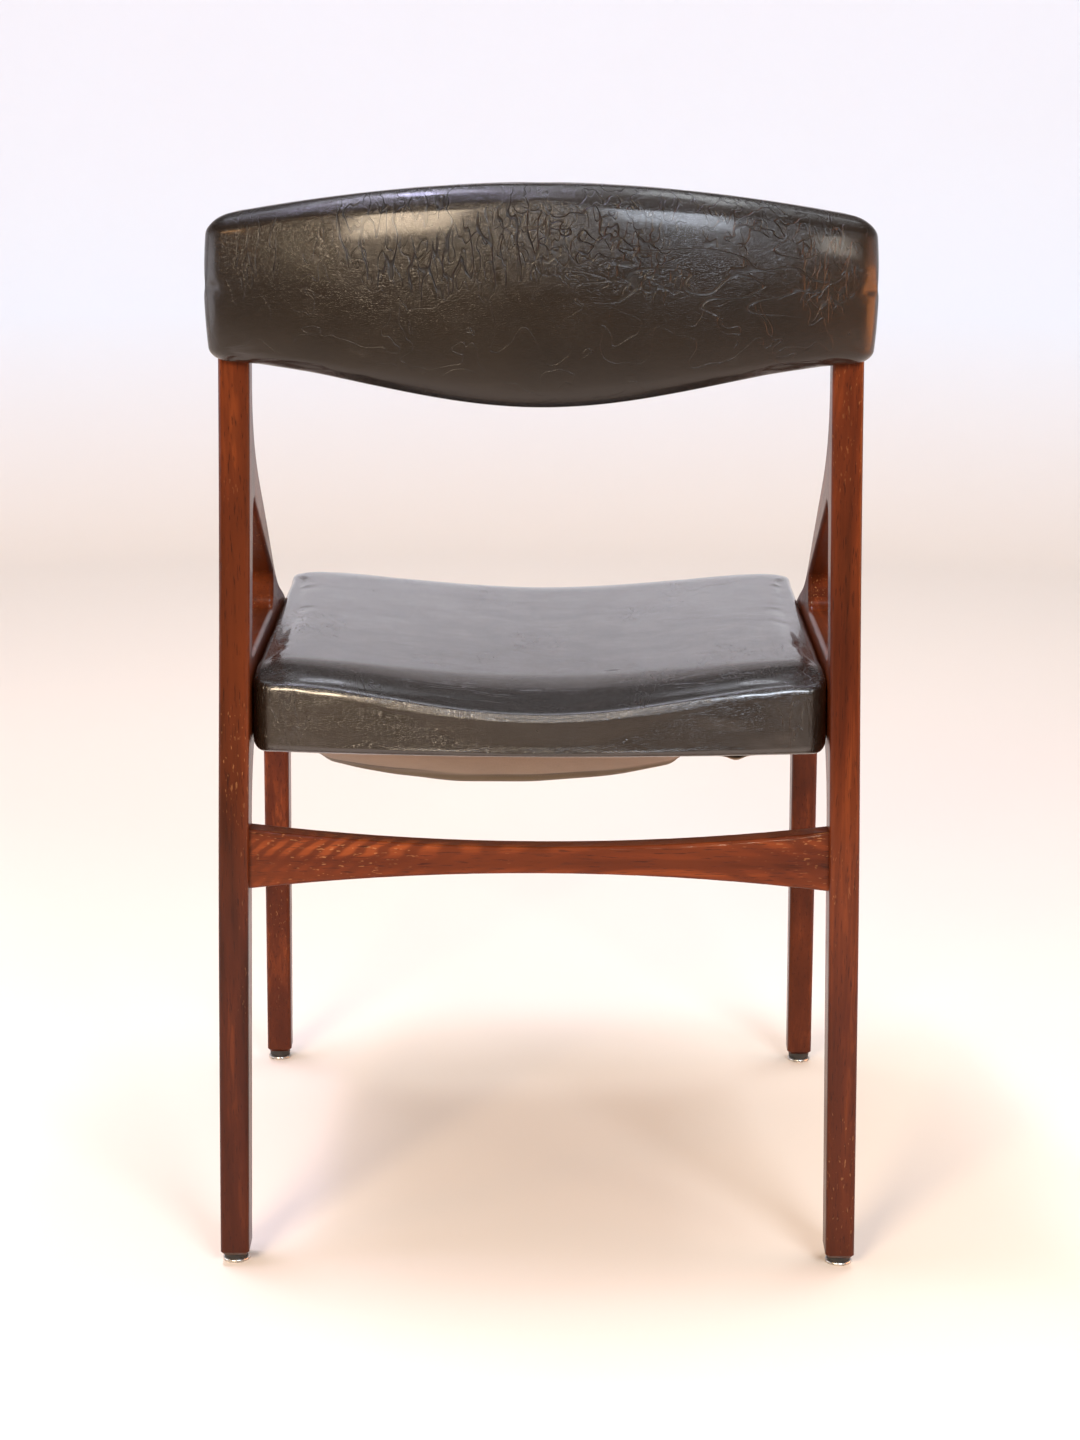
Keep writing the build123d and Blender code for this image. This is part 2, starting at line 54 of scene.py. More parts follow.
# ---------------------------------------------------------------- node helpers
class Nodes:
    """Short calls for building one material's node tree."""

    def __init__(self, name):
        self.material = bpy.data.materials.new(name)
        self.material.use_nodes = True
        self.tree = self.material.node_tree
        self.shader = self.tree.nodes["Principled BSDF"]
        self.output = self.tree.nodes["Material Output"]

    def add(self, kind, **settings):
        node = self.tree.nodes.new(kind)
        for key, value in settings.items():
            if key in node.inputs:
                socket = node.inputs[key]
                if isinstance(value, bpy.types.NodeSocket):
                    self.tree.links.new(value, socket)
                else:
                    socket.default_value = value
            else:
                setattr(node, key, value)
        return node

    def link(self, a, b):
        self.tree.links.new(a, b)

    def set(self, **values):
        for key, value in values.items():
            socket = self.shader.inputs[key.replace("_", " ")]
            if isinstance(value, bpy.types.NodeSocket):
                self.link(value, socket)
            else:
                socket.default_value = value

    def coords(self, rotation=(0, 0, 0), scale=(1, 1, 1), shift=(0, 0, 0)):
        place = self.add("ShaderNodeTexCoord")
        mapping = self.add("ShaderNodeMapping", Vector=place.outputs["Object"])
        mapping.inputs["Location"].default_value = shift
        mapping.inputs["Rotation"].default_value = rotation
        mapping.inputs["Scale"].default_value = scale
        return mapping.outputs[0]

    def stretched(self, vector, scale):
        mapping = self.add("ShaderNodeMapping", Vector=vector)
        mapping.inputs["Scale"].default_value = scale
        return mapping.outputs[0]

    def noise(self, vector, scale, detail=4, roughness=0.55, distortion=0.0):
        node = self.add("ShaderNodeTexNoise", Vector=vector, Scale=scale, Detail=detail)
        node.inputs["Roughness"].default_value = roughness
        node.inputs["Distortion"].default_value = distortion
        return node.outputs["Fac"]

    def ramp(self, value, *stops, ease="LINEAR"):
        """Colour ramp; a stop is (position, grey) or (position, (r, g, b))."""
        node = self.add("ShaderNodeValToRGB", Fac=value)
        node.color_ramp.interpolation = ease
        marks = node.color_ramp.elements
        while len(marks) < len(stops):
            marks.new(0.5)
        for mark, (position, colour) in zip(marks, stops):
            mark.position = position
            rgb = colour if isinstance(colour, tuple) else (colour,) * 3
            mark.color = (*rgb, 1)
        return node.outputs["Color"]

    def mix(self, factor, a, b, blend="MIX"):
        node = self.add("ShaderNodeMix", data_type="RGBA", blend_type=blend)
        for socket, value in ((node.inputs[0], factor), (node.inputs[6], a), (node.inputs[7], b)):
            if isinstance(value, bpy.types.NodeSocket):
                self.link(value, socket)
            elif isinstance(value, tuple):
                socket.default_value = (*value, 1)
            else:
                socket.default_value = value
        return node.outputs[2]

    def math(self, operation, *values):
        node = self.add("ShaderNodeMath", operation=operation)
        for socket, value in zip(node.inputs, values):
            if isinstance(value, bpy.types.NodeSocket):
                self.link(value, socket)
            else:
                socket.default_value = value
        return node.outputs[0]

    def bump(self, height, distance, strength=1.0, normal=None):
        node = self.add("ShaderNodeBump", Height=height, Distance=distance, Strength=strength)
        if normal is not None:
            self.link(normal, node.inputs["Normal"])
        return node.outputs["Normal"]


# ---------------------------------------------------------------- materials
def veins(n, vector, scale, width, detail=3, distortion=0.5):
    """Thin meandering lines: 1 on a line, 0 away from it."""
    field = n.noise(vector, scale, detail=detail, roughness=0.6, distortion=distortion)
    away = n.math("ABSOLUTE", n.math("SUBTRACT", field, 0.5))
    return n.ramp(away, (0.0, 1.0), (width, 0.0))


def spot(n, centre, radii):
    """1 at a place on the object, falling to 0 at the radii."""
    scale = tuple(1 / r for r in radii)
    shift = tuple(-c / r for c, r in zip(centre, radii))
    at = n.coords(scale=scale, shift=shift)
    round_fall = n.add("ShaderNodeTexGradient", gradient_type="SPHERICAL", Vector=at)
    return n.ramp(round_fall.outputs["Fac"], (0.0, 0.0), (0.55, 1.0), ease="EASE")


def most(n, *values):
    """The largest of several node values."""
    total = values[0]
    for value in values[1:]:
        total = n.math("MAXIMUM", total, value)
    return total


def ring_field(n, at, arch):
    """Growth rings of a board: wavy along the grain, or arched about x = arch."""
    if arch is None:
        field = n.noise(n.stretched(at, (1.0, 14.0, 14.0)), 4.2, detail=3, distortion=0.35)
        return n.math("MULTIPLY", field, 60.0)
    split = n.add("ShaderNodeSeparateXYZ", Vector=n.coords())
    off = n.math("SUBTRACT", split.outputs[0], arch)
    field = n.math("MULTIPLY_ADD", n.math("MULTIPLY", off, off), 1.7, split.outputs[2])
    wobble = n.noise(n.stretched(at, (5.0, 30.0, 30.0)), 1.0, detail=3)
    return n.math("MULTIPLY", n.math("MULTIPLY_ADD", wobble, 0.034, field), 560.0)


def teak(name, turn, seed, tone=1.0, arch=None):
    """Oiled teak; turn brings the grain's direction to local X."""
    n = Nodes(name)
    at = n.coords(rotation=turn, shift=(seed * 0.37, seed * 0.61, seed * 0.23))
    bands = n.math("SINE", ring_field(n, at, arch))
    band = n.ramp(n.math("MULTIPLY_ADD", bands, 0.5, 0.5), (0.10, 0.0), (0.90, 1.0), ease="EASE")
    fibre = n.noise(n.stretched(at, (9.0, 260.0, 260.0)), 1.0, detail=5, roughness=0.7)
    streak = n.noise(n.stretched(at, (2.2, 70.0, 70.0)), 1.0, detail=3)
    patch = n.noise(n.stretched(at, (5.0, 16.0, 16.0)), 1.0, detail=2)
    dark = (0.020 * tone, 0.0042 * tone, 0.0016 * tone)
    mid = (0.088 * tone, 0.0165 * tone, 0.0048 * tone)
    light = (0.215 * tone, 0.048 * tone, 0.0115 * tone)
    base = n.ramp(streak, (0.34, dark), (0.52, mid), (0.70, light))
    strength = 0.55 if arch is None else 0.85
    base = n.mix(n.math("MULTIPLY", band, strength), base, (0.052 * tone, 0.0100 * tone, 0.0034 * tone))
    base = n.mix(n.math("MULTIPLY", n.ramp(patch, (0.35, 0.0), (0.7, 1.0)), 0.35), base, light)
    base = n.mix(n.math("MULTIPLY", fibre, 0.35), base, mid)
    pores = n.noise(n.stretched(at, (70.0, 1000.0, 1000.0)), 1.0, detail=2)
    pore = n.ramp(pores, (0.60, 0.0), (0.68, 1.0))
    base = n.mix(n.math("MULTIPLY", pore, 0.6), base, (0.014, 0.0035, 0.0018))
    fleck = n.ramp(n.noise(n.stretched(at, (190.0, 640.0, 640.0)), 1.0, detail=1), (0.66, 0.0), (0.72, 1.0))
    worn = n.ramp(n.noise(at, 9.0, detail=3), (0.48, 0.0), (0.62, 1.0))
    base = n.mix(n.math("MULTIPLY", n.math("MULTIPLY", fleck, worn), 0.55), base, (0.42, 0.19, 0.075))
    # the wood turns darker towards the bottom, below about 0.34 m
    height = n.add("ShaderNodeSeparateXYZ", Vector=n.coords()).outputs[2]
    darker_low = n.ramp(height, (0.0, 0.62), (0.34, 0.0))
    base = n.mix(darker_low, base, (0.036 * tone, 0.0075 * tone, 0.0036 * tone))
    uneven = n.math("MULTIPLY_ADD", fibre, 0.5, n.math("MULTIPLY", worn, 0.3))
    rough = n.ramp(uneven, (0.1, 0.30), (0.8, 0.50))
    n.set(Base_Color=base, Roughness=rough, Specular_IOR_Level=0.06, Coat_Weight=0.24, Coat_Roughness=0.14)
    grooves = n.math("MULTIPLY_ADD", pore, -0.7, n.math("MULTIPLY", fibre, 0.5))
    n.set(Normal=n.bump(grooves, 0.00022, 0.55))
    return n.material


COAT_SMOOTHER = 0.07    # how much smoother the vinyl's coat is than its body


def leatherette(name, seed, creases, scratches, shine, coat, matt):
    """Glossy black vinyl with a fine pebble.

    creases(n) gives crack lines from 0 to 1, scratches adds to the pale scuffs, shine and coat set how
    strongly it reflects, and matt is its lowest roughness.
    """
    n = Nodes(name)
    at = n.coords(shift=(seed, seed * 0.5, 0.1))
    cells = n.add("ShaderNodeTexVoronoi", feature="DISTANCE_TO_EDGE", Vector=at, Scale=850.0)
    pebble = n.ramp(cells.outputs["Distance"], (0.0, 0.0), (0.2, 1.0))
    crack = creases(n)
    cloudy = n.noise(at, 12.0, detail=4)
    tint = n.ramp(cloudy, (0.3, (0.0070, 0.0048, 0.0032)), (0.75, (0.0130, 0.0088, 0.0056)))
    scuff = n.ramp(n.noise(n.stretched(at, (6.0, 150.0, 60.0)), 1.0, detail=4), (0.62, 0.0), (0.74, 1.0))
    tint = n.mix(n.math("MULTIPLY", scuff, 0.10 + scratches), tint, (0.085, 0.075, 0.066))
    tint = n.mix(n.math("MULTIPLY", crack, 0.75), tint, (0.0035, 0.0028, 0.0026))
    gloss = n.noise(at, 34.0, detail=5, roughness=0.6)
    rough = n.ramp(gloss, (0.3, matt), (0.75, matt + 0.09))
    rough = n.mix(n.math("MULTIPLY", crack, 0.6), rough, (0.6, 0.6, 0.6))
    n.set(Base_Color=tint, Roughness=rough, Specular_IOR_Level=shine)
    n.set(Coat_Weight=coat, Coat_Roughness=matt - COAT_SMOOTHER)
    normal = n.bump(n.noise(at, 11.0, detail=1), 0.006, 0.10)
    normal = n.bump(n.noise(at, 70.0, detail=3), 0.0010, 0.14, normal)
    normal = n.bump(n.math("MULTIPLY", crack, -1.0), 0.0009, 0.75, normal)
    normal = n.bump(n.math("MULTIPLY", scuff, -1.0), 0.0002, 0.4, normal)
    normal = n.bump(pebble, 0.00016, 0.40, normal)
    n.set(Normal=normal)
    return n.material


def woven(name, dark, light, threads=1500.0, seed=0.0, creased=False):
    """Plain woven cloth, from two crossing sets of threads.

    Creased cloth gets painted shade where its mesh marks a groove, and under its fold.
    """
    n = Nodes(name)
    at = n.coords(shift=(seed, seed, seed))
    split = n.add("ShaderNodeSeparateXYZ", Vector=at)
    warp = n.math("SINE", n.math("MULTIPLY", split.outputs[0], threads * 2))
    weft = n.math("SINE", n.math("MULTIPLY", split.outputs[1], threads * 2))
    weave = n.math("MULTIPLY_ADD", n.math("MULTIPLY", warp, weft), 0.5, 0.5)
    stain = n.noise(at, 14.0, detail=5)
    fuzz = n.noise(at, 420.0, detail=3)
    base = n.ramp(stain, (0.3, dark), (0.7, light))
    base = n.mix(n.math("MULTIPLY", weave, 0.25), base, tuple(c * 0.55 for c in dark))
    base = n.mix(n.math("MULTIPLY", fuzz, 0.22), base, tuple(min(1, c * 1.4) for c in light))
    if creased:
        groove_and_shade = n.add("ShaderNodeAttribute", attribute_name="groove_and_shade").outputs["Fac"]
        shade_under_fold = n.add("ShaderNodeAttribute", attribute_name="shade_under_fold").outputs["Fac"]
        # painted shade: darker brown under the fold, and near black along the groove behind it
        base = n.mix(n.math("MULTIPLY", shade_under_fold, 0.8), base, (0.095, 0.068, 0.030))
        base = n.mix(n.math("MULTIPLY", groove_and_shade, 0.9), base, (0.012, 0.008, 0.005))
    n.set(Base_Color=base, Roughness=0.92, Specular_IOR_Level=0.2, Sheen_Weight=0.25, Sheen_Roughness=0.5)
    n.set(Normal=n.bump(weave, 0.0004, 0.5, n.bump(fuzz, 0.0006, 0.3)))
    return n.material


def metal(name, colour, rough):
    """Plated steel with fine scratches and dull spots."""
    n = Nodes(name)
    at = n.coords()
    scratch = n.noise(n.stretched(at, (300.0, 2500.0, 300.0)), 1.0, detail=2)
    spots = n.noise(at, 260.0, detail=4)
    shade = n.ramp(spots, (0.35, tuple(c * 0.55 for c in colour)), (0.6, colour))
    n.set(Base_Color=shade, Metallic=1.0)
    n.set(Roughness=n.ramp(scratch, (0.3, rough), (0.8, rough + 0.22)), Normal=n.bump(scratch, 0.00005, 0.4))
    return n.material


def rubber(name):
    """Black rubber with grit and a little dust."""
    n = Nodes(name)
    at = n.coords()
    grit = n.noise(at, 900.0, detail=4)
    dust = n.noise(at, 180.0, detail=3)
    n.set(Base_Color=n.ramp(dust, (0.3, (0.008, 0.007, 0.006)), (0.8, (0.03, 0.026, 0.022))))
    n.set(Roughness=n.ramp(grit, (0.2, 0.45), (0.8, 0.7)), Normal=n.bump(grit, 0.0003, 0.5))
    return n.material


def pale_wood(name, turn, seed, dark=(0.45, 0.28, 0.15), light=(0.66, 0.46, 0.27)):
    """Unfinished beech or plywood, inside the upholstery."""
    n = Nodes(name)
    at = n.coords(rotation=turn, shift=(seed, seed, seed))
    grain = n.noise(n.stretched(at, (6.0, 120.0, 120.0)), 1.0, detail=4)
    ray = n.ramp(n.noise(n.stretched(at, (120.0, 700.0, 700.0)), 1.0, detail=1), (0.62, 0.0), (0.7, 1.0))
    plain = n.ramp(grain, (0.3, dark), (0.7, light))
    base = n.mix(n.math("MULTIPLY", ray, 0.5), plain, tuple(c * 0.6 for c in dark))
    n.set(Base_Color=base, Roughness=0.6, Normal=n.bump(grain, 0.0003, 0.4))
    return n.material


def seat_creases(n):
    """Thin scattered cracks, a few short nicks, and fine pleats at the rear corners."""
    at = n.coords(shift=(0.3, 0.2, 0.1))
    fine = veins(n, n.stretched(at, (1.0, 0.45, 1.0)), 62.0, 0.010, distortion=0.8)
    where = n.ramp(n.noise(n.stretched(at, (1.0, 0.6, 1.0)), 13.0, detail=1), (0.54, 0.0), (0.60, 1.0))
    across = veins(n, n.stretched(at, (0.12, 1.0, 1.0)), 70.0, 0.012, distortion=0.3)
    rare = n.ramp(n.noise(at, 10.0, detail=1), (0.60, 0.0), (0.66, 1.0))
    nick = spot(n, (0.052, SEAT_LOW.y + 0.085, SEAT_HIGH.z - 0.018), (0.007, 0.004, 0.03))
    pleats = veins(n, n.stretched(at, (1.0, 1.0, 0.22)), 120.0, 0.035, distortion=0.4)
    corner = [spot(n, (x, SEAT_LOW.y + 0.018, SEAT_LOW.z + 0.03), (0.045, 0.04, 0.06))
              for x in (-0.188, 0.193)]
    lip = n.math("MULTIPLY", pleats, n.math("MULTIPLY", most(n, *corner), 0.25))
    surface = n.add("ShaderNodeNewGeometry").outputs["Normal"]
    facing = n.add("ShaderNodeSeparateXYZ", Vector=surface).outputs[2]
    upward = n.ramp(facing, (0.70, 0.0), (0.90, 1.0))
    cracks = n.math("MULTIPLY", n.math("MULTIPLY", fine, where), n.math("MULTIPLY", upward, 0.75))
    strokes = n.math("MULTIPLY", n.math("MULTIPLY", across, rare), n.math("MULTIPLY", upward, 0.6))
    return most(n, cracks, strokes, nick, lip)


def back_creases(n):
    """Cracked patches high on the rear side, and faint creases elsewhere."""
    at = n.coords(shift=(1.7, 0.9, 0.4))
    rear, top = BACK_LOW.y + 0.02, BACK_HIGH.z
    upright = veins(n, n.stretched(at, (1.0, 1.0, 0.30)), 95.0, 0.028, detail=1, distortion=0.20)
    fine = veins(n, n.stretched(at, (1.0, 1.0, 0.40)), 165.0, 0.030, detail=0, distortion=0.2)
    upright = most(n, upright, n.math("MULTIPLY", fine, 0.35))
    net = most(n, veins(n, at, 84.0, 0.028, detail=1, distortion=0.25), n.math("MULTIPLY", fine, 0.35))
    long_net = veins(n, n.stretched(at, (0.22, 1.0, 1.0)), 85.0, 0.024, detail=0, distortion=0.2)
    faint = veins(n, at, 36.0, 0.006, detail=1, distortion=0.8)
    broken = n.ramp(n.noise(at, 24.0, detail=2), (0.36, 0.0), (0.50, 1.0))
    left = spot(n, (-0.060, rear, top - 0.032), (0.100, 0.09, 0.052))
    right = spot(n, (0.075, rear + 0.01, top - 0.032), (0.125, 0.09, 0.050))
    low_right = spot(n, (0.110, rear + 0.02, top - 0.060), (0.12, 0.09, 0.036))
    end = spot(n, (0.186, rear + 0.03, top - 0.054), (0.026, 0.08, 0.044))
    other_end = spot(n, (-0.190, rear + 0.03, top - 0.050), (0.030, 0.08, 0.050))
    front = spot(n, (0.0, BACK_HIGH.y - 0.01, top - 0.05), (0.20, 0.06, 0.05))
    pieces = [
        n.math("MULTIPLY", n.math("MULTIPLY", upright, broken), left),
        n.math("MULTIPLY", n.math("MULTIPLY", net, broken), right),
        n.math("MULTIPLY", long_net, n.math("MULTIPLY", low_right, 0.6)),
        n.math("MULTIPLY", upright, most(n, end, n.math("MULTIPLY", other_end, 0.2))),
        n.math("MULTIPLY", n.math("MULTIPLY", upright, broken), n.math("MULTIPLY", front, 0.6)),
        n.math("MULTIPLY", n.math("MULTIPLY", faint, broken), 0.22),
    ]
    return most(n, *pieces)


# how the grain of a piece runs, as the turn that brings it to local X
UPRIGHT = (0, radians(90), 0)
CROSSWISE = (0, 0, 0)
FRONT_TO_BACK = (0, 0, radians(90))
SLOPING = (radians(28), 0, radians(90))
STRETCHER_ARCH = 0.075      # where along the stretcher its figure is arched


def paint(node, material):
    """Puts a material into every slot of a CAD node."""
    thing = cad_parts[node]
    if not thing.material_slots:
        thing.data.materials.append(material)
    for place in thing.material_slots:
        place.link = "OBJECT"
        place.material = material


for count, side in enumerate(("left", "right")):
    paint(side + "_rear_leg", teak("teak_post_" + side, UPRIGHT, 1.3 + count, 0.80 + 0.14 * count))
    paint(side + "_front_leg", teak("teak_leg_" + side, UPRIGHT, 4.1 + count, 1.1))
    paint(side + "_side_rail", teak("teak_rail_" + side, FRONT_TO_BACK, 7.7 + count, 0.9))
    paint(side + "_brace", teak("teak_brace_" + side, SLOPING, 9.9 + count, 0.85))
    paint(side + "_back_block", pale_wood("beech_block_" + side, UPRIGHT, count))
    paint("seat_frame_" + side, pale_wood("beech_side_" + side, FRONT_TO_BACK, 2 + count))
paint("rear_stretcher", teak("teak_stretcher", CROSSWISE, 12.4, 1.15, arch=STRETCHER_ARCH))
paint("front_rail", teak("teak_front_rail", CROSSWISE, 15.8, 0.9))
for node in ("seat_frame_front", "seat_frame_rear", "seat_corner_blocks",
             "side_frame_dowels", "cross_rail_dowels"):
    paint(node, pale_wood("beech_" + node, CROSSWISE, len(node)))
paint("back_shell", pale_wood("plywood", CROSSWISE, 3.0, (0.36, 0.22, 0.12), (0.52, 0.36, 0.21)))
paint("seat_webbing", woven("webbing", (0.20, 0.15, 0.09), (0.36, 0.28, 0.18), 900.0))
STEEL, RUBBER = metal("glide_plate", (0.66, 0.64, 0.60), 0.22), rubber("pad_black")
for end in ("front", "rear"):
    for side in ("left", "right"):
        paint(f"{end}_{side}_glide", STEEL)
        paint(f"{end}_{side}_glide_pad", RUBBER)
SCREW = metal("screw_zinc", (0.55, 0.54, 0.50), 0.3)
for node in ("seat_side_screws", "seat_front_screws", "back_screws"):
    paint(node, SCREW)


# ---------------------------------------------------------------- meshes
def new_piece(name, points, faces, material):
    """A smooth-shaded mesh object in the scene."""
    mesh = bpy.data.meshes.new(name)
    mesh.from_pydata([tuple(p) for p in points], [], [tuple(f) for f in faces])
    mesh.update()
    piece = bpy.data.objects.new(name, mesh)
    bpy.context.scene.collection.objects.link(piece)
    mesh.materials.append(material)
    mesh.polygons.foreach_set("use_smooth", [True] * len(mesh.polygons))
    return piece


def box_grid(xs, ys, zs):
    """Surface of a box divided at the given -1..1 values: (points, quads)."""
    counts = (len(xs) - 1, len(ys) - 1, len(zs) - 1)
    index, points, faces = {}, [], []

    def at(i, j, k):
        key = (i, j, k)
        if key not in index:
            index[key] = len(points)
            points.append((xs[i], ys[j], zs[k]))
        return index[key]

    for axis in range(3):
        u, v = [(1, 2), (2, 0), (0, 1)][axis]
        for end in (0, counts[axis]):
            for a in range(counts[u]):
                for b in range(counts[v]):
                    quad = []
                    for da, db in ((0, 0), (1, 0), (1, 1), (0, 1)):
                        spot = [0, 0, 0]
                        spot[axis], spot[u], spot[v] = end, a + da, b + db
                        quad.append(at(*spot))
                    faces.append(quad if end else quad[::-1])
    return np.array(points, float), faces


def spaced(half, edge, step, fine):
    """-1..1 values, fine within edge of the ends and step apart elsewhere; all lengths in mm."""
    outer = np.arange(half, half - edge, -fine)
    inner = np.linspace(0, half - edge, max(2, int((half - edge) / step) + 1))
    positive = np.unique(np.round(np.concatenate([inner, outer]), 4)) / half
    return np.unique(np.concatenate([-positive, positive]))


def rounded(points, half, radius_top, radius_low):
    """Box points to a box with rounded edges."""
    half = np.array(half)
    radius = np.where(points[:, 2:] > 0, radius_top, radius_low)
    p = points * half
    core = np.clip(p, -(half - radius), half - radius)
    out = p - core
    length = np.linalg.norm(out, axis=1, keepdims=True)
    return core + out / np.maximum(length, 1e-9) * radius


def round_plan(p, half_x, half_y, front_r, rear_r):
    """Widens the rounding of the four upright corners."""
    q = p.copy()
    r = np.where(p[:, 1] > 0, front_r, rear_r)
    dx = np.clip((np.abs(p[:, 0]) - (half_x - r)) / r, 0, 1)
    dy = np.clip((np.abs(p[:, 1]) - (half_y - r)) / r, 0, 1)
    fx, fy = dx * np.sqrt(1 - dy ** 2 / 2), dy * np.sqrt(1 - dx ** 2 / 2)
    both = (dx > 0) & (dy > 0)
    q[both, 0] = (np.sign(p[:, 0]) * (half_x - r + fx * r))[both]
    q[both, 1] = (np.sign(p[:, 1]) * (half_y - r + fy * r))[both]
    return q


PUFF_FRAMES = 20
INWARD_REMOVED = 0.85       # stretched covers over foam hardly move inward


def puff(piece, pressure, cap, hold=None):
    """Inflates a closed piece a little by cloth simulation, and applies the result.

    hold(points) marks what stays where it is, and cap is how far a point may move.
    """
    mesh = piece.data
    start = np.empty(len(mesh.vertices) * 3)
    mesh.vertices.foreach_get("co", start)
    start = start.reshape(-1, 3)
    if hold is not None:
        group = piece.vertex_groups.new(name="hold")
        for i in np.nonzero(hold(start))[0]:
            group.add([int(i)], 1.0, "REPLACE")
    cloth = piece.modifiers.new("cloth", "CLOTH")
    settings = cloth.settings
    settings.use_pressure = True
    settings.uniform_pressure_force = pressure
    settings.effector_weights.gravity = 0
    settings.quality = 6
    settings.mass = 0.4
    settings.tension_stiffness = settings.compression_stiffness = 25
    settings.bending_stiffness = 0.6
    if hold is not None:
        settings.vertex_group_mass = "hold"
    cloth.collision_settings.use_collision = False
    cloth.point_cache.frame_start, cloth.point_cache.frame_end = 1, PUFF_FRAMES
    scene = bpy.context.scene
    for number in range(1, PUFF_FRAMES + 1):
        scene.frame_set(number)
    shown = piece.evaluated_get(bpy.context.evaluated_depsgraph_get())
    result = np.empty(len(mesh.vertices) * 3)
    shown.data.vertices.foreach_get("co", result)
    result = result.reshape(-1, 3)
    piece.modifiers.remove(cloth)
    outward = np.empty(len(mesh.vertices) * 3)
    mesh.vertices.foreach_get("normal", outward)
    outward = outward.reshape(-1, 3)
    moved = result - start
    inward = np.minimum(0, (moved * outward).sum(1, keepdims=True))
    moved -= INWARD_REMOVED * inward * outward
    length = np.linalg.norm(moved, axis=1, keepdims=True)
    moved *= np.minimum(1, cap / np.maximum(length, 1e-9))
    print(piece.name, "moved at most", round(float(length.max()) * 1000, 2), "mm")
    mesh.vertices.foreach_set("co", (start + moved).ravel())
    mesh.update()
    scene.frame_set(1)


def subdivide(piece, levels=1):
    modifier = piece.modifiers.new("smooth", "SUBSURF")
    modifier.levels = modifier.render_levels = levels


# ---------------------------------------------------------------- seat cushion
SEAT_BOW_REAR, SEAT_BOW_FRONT = 15.0, 8.0
SEAT_HX, SEAT_HY, SEAT_HZ = 206.0, 222.5, 28.5
SEAT_HALF_REAR, SEAT_HALF_FRONT = 200.9, 211.4
SEAT_SIDE_TOP = 450.5
SEAT_RADIUS_TOP, SEAT_RADIUS_LOW = 4.5, 7.0
SEAT_PLAN_FRONT, SEAT_PLAN_REAR = 36.0, 15.0    # rounding of the upright corners
REAR_DIP, FRONT_DIP = 18.5, 15.0                # how deep the dish is at the rear and at the front edge
SHOULDER, SHOULDER_MID, FRONT_SHOULDER, SIDE_SHOULDER = 44.0, 30.0, 56.0, 34.0
REAR_DROP, FRONT_DROP, SIDE_DROP = 9.0, 7.0, 2.2
glide_low, glide_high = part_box("rear_right_glide")
REAR_FOOT_Y = 9.26          # middle of a rear glide in the chair's own drawing
y_shift = (glide_low.y + glide_high.y) / 2 / MM - REAR_FOOT_Y      # from that drawing to the frame
seat_rear, seat_front = SEAT_LOW.y / MM + SEAT_BOW_REAR, SEAT_HIGH.y / MM - SEAT_BOW_FRONT


def wave(u):
    """1 in the middle, 0 at both ends, level at all three."""
    return (1 + np.cos(pi * np.clip(u, -1, 1))) / 2


def seat_shape(cube):
    """Cube points to the seat cushion, in metres."""
    p = rounded(cube, (SEAT_HX, SEAT_HY, SEAT_HZ), SEAT_RADIUS_TOP, SEAT_RADIUS_LOW)
    p = round_plan(p, SEAT_HX, SEAT_HY, SEAT_PLAN_FRONT, SEAT_PLAN_REAR)
    u, v, w = p[:, 0] / SEAT_HX, p[:, 1] / SEAT_HY, (p[:, 2] / SEAT_HZ + 1) / 2
    front_share = (v + 1) / 2
    x = u * (SEAT_HALF_REAR + (SEAT_HALF_FRONT - SEAT_HALF_REAR) * front_share)
    bow = 1 - u ** 2
    y = seat_rear + front_share * (seat_front - seat_rear)
    y += np.where(v > 0, SEAT_BOW_FRONT * bow * v ** 2, -SEAT_BOW_REAR * bow * v ** 2)
    rear_dip = REAR_DIP * wave(u)
    front_dip = FRONT_DIP * (wave(u) + 1 - u ** 2) / 2
    dish = rear_dip + (front_dip - rear_dip) * front_share
    shoulder = SHOULDER + SHOULDER_MID * wave(u)
    from_rear = np.clip(1 - (1 + v) * SEAT_HY / shoulder, 0, 1)
    from_front = np.clip(1 - (1 - v) * SEAT_HY / FRONT_SHOULDER, 0, 1)
    from_side = np.clip(1 - (1 - np.abs(u)) * SEAT_HX / SIDE_SHOULDER, 0, 1)
    drop = REAR_DROP * from_rear ** 2 + FRONT_DROP * from_front ** 2 + SIDE_DROP * from_side ** 2
    top = SEAT_SIDE_TOP - dish - drop
    low = SEAT_LOW.z / MM
    return np.stack([x, y, low + w * (top - low)], 1) * MM


SEAT_STEPS = (spaced(SEAT_HX, 16, 5.5, 2.0), spaced(SEAT_HY, 16, 5.5, 2.0), spaced(SEAT_HZ, 11, 4.0, 1.6))
cube, quads = box_grid(*SEAT_STEPS)
SEAT_SKIN = leatherette("leatherette_seat", 0.3, seat_creases, 0.03, 0.66, 0.56, 0.19)
seat = new_piece("seat_cushion", seat_shape(cube), quads, SEAT_SKIN)
puff(seat, 3.0, 2.0 * MM, hold=lambda p: p[:, 2] < SEAT_LOW.z + 0.004)
subdivide(seat)
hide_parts("seat_cover", "seat_foam")
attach(seat, "root")

# ---------------------------------------------------------------- back cushion
BACK_R, BACK_HALF, BACK_HT, BACK_HH = 560.0, 217.5, 24.0, 72.75
BACK_MID_Y, BACK_PIVOT_Z, BACK_LEAN = -70.0, 715.0, radians(5.0)
BACK_TOP, BACK_TOP_DROP, BACK_LOW_Z, BACK_LOW_RISE = 786.8, 28.0, 641.0, 23.0
LOW_HALF = 0.96             # where along the half length the lower edge turns level
BACK_RADIUS_TOP, BACK_RADIUS_LOW = 16.0, 15.0
BACK_THIN_TOP, BACK_THIN_LOW = 0.31, 0.16       # share of the thickness lost at the edges
BACK_BELLY, BACK_END_BOW = 1.6, 0.006


